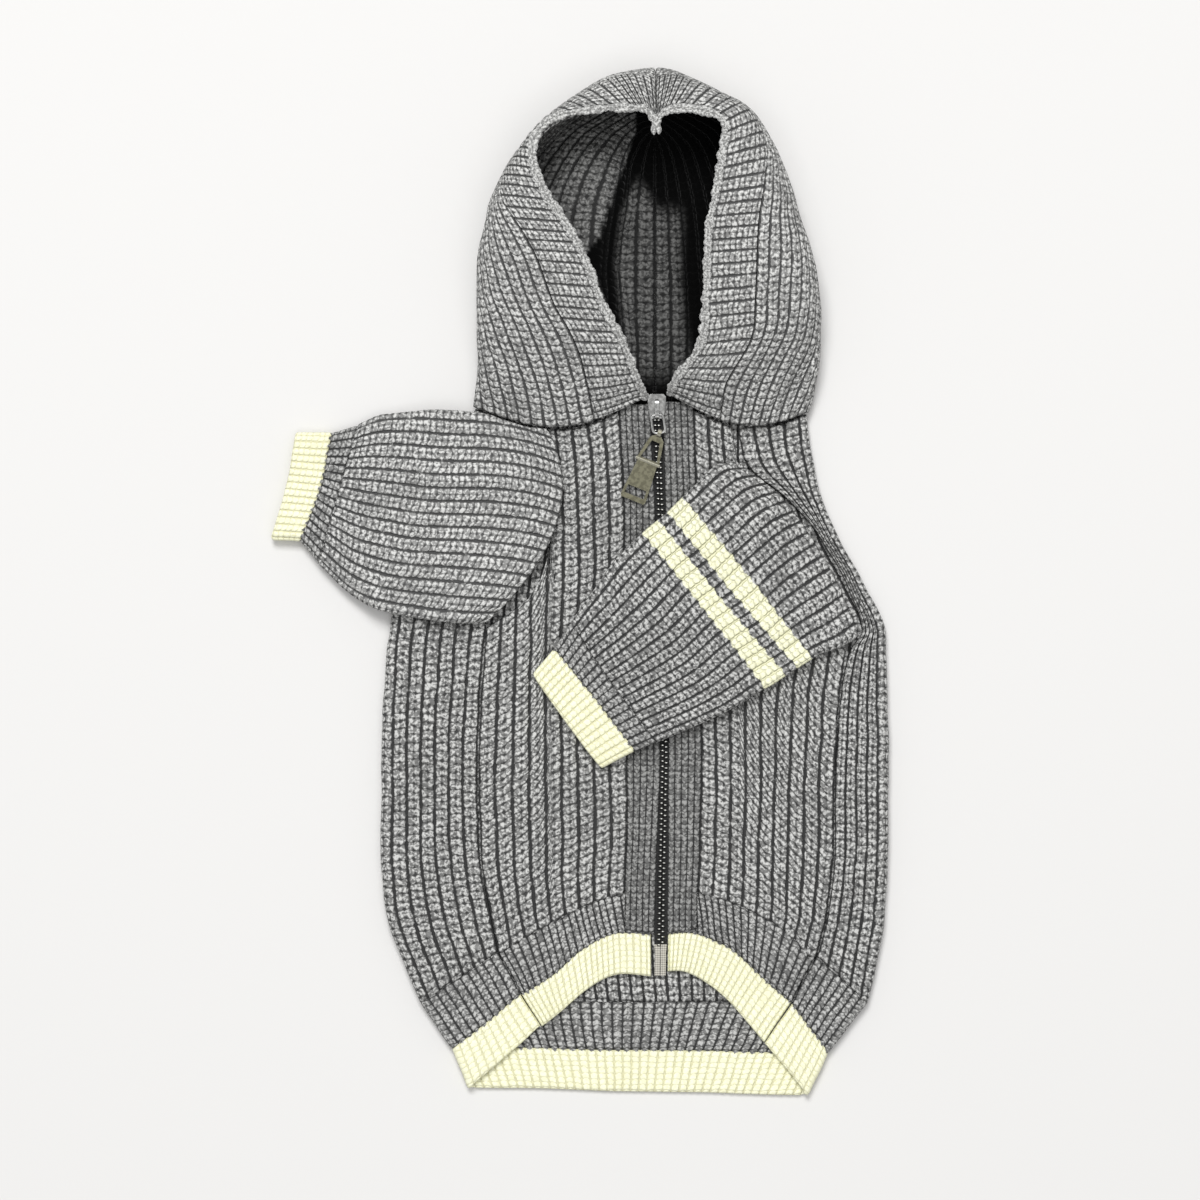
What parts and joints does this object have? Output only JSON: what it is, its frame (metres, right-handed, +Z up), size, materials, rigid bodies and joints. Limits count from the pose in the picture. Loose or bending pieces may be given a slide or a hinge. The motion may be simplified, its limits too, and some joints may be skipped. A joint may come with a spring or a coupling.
{
  "type": "dog sweater",
  "caption": "Knitted hooded dog sweater with a zip front, laid flat: ribbed panels, finer waistband and cuffs, light edges, one sleeve out and the other folded over.",
  "frame": {"origin": "on the table, under the middle of the laid sweater", "axes": "+Z up from the table, +Y from the hem to the hood, +X to the right seen from above"},
  "size_m": [0.2485, 0.411, 0.0437],
  "materials": {
    "yarn": "mid grey flecked wool knit in broad ribs",
    "fine_yarn": "mid grey flecked wool knit in fine ribs",
    "light_yarn": "cream wool knit in fine ribs",
    "tooth_metal": "dark plated zip teeth",
    "slider_metal": "bright plated",
    "tab_metal": "dull aged plating"
  },
  "bodies": {
    "garment": {"back_panel": "yarn", "back_waistband": "fine_yarn", "back_hem_edge": "light_yarn", "right_front": "yarn", "left_front": "yarn", "right_front_waistband": "fine_yarn", "left_front_waistband": "fine_yarn", "right_front_hem_edge": "light_yarn", "left_front_hem_edge": "light_yarn", "right_placket": "fine_yarn", "left_placket": "fine_yarn", "right_zip_row": "tooth_metal", "left_zip_row": "tooth_metal", "right_sleeve": "yarn", "right_cuff": "fine_yarn", "right_cuff_edge": "light_yarn", "left_sleeve": "yarn", "left_cuff": "fine_yarn", "left_cuff_edge": "light_yarn", "right_hood": "yarn", "right_brim": "fine_yarn", "left_hood": "yarn", "left_brim": "fine_yarn", "zip_slider": "slider_metal"},
    "pull_ring": {"pull_ring": "slider_metal"},
    "pull_tab": {"pull_tab": "tab_metal"}
  },
  "joints": [
    {"name": "ring_on_slider", "type": "hinge", "parent": "garment", "child": "pull_ring", "pos_m": [0.03193, 0.0682, 0.00875], "axis": [-0.9903, -0.1392, 0], "range_deg": [0, 90]},
    {"name": "tab_on_ring", "type": "hinge", "parent": "pull_ring", "child": "pull_tab", "pos_m": [0.03294, 0.06097, 0.00875], "axis": [-0.9272, 0.3746, 0], "range_deg": [0, 60]}
  ]
}
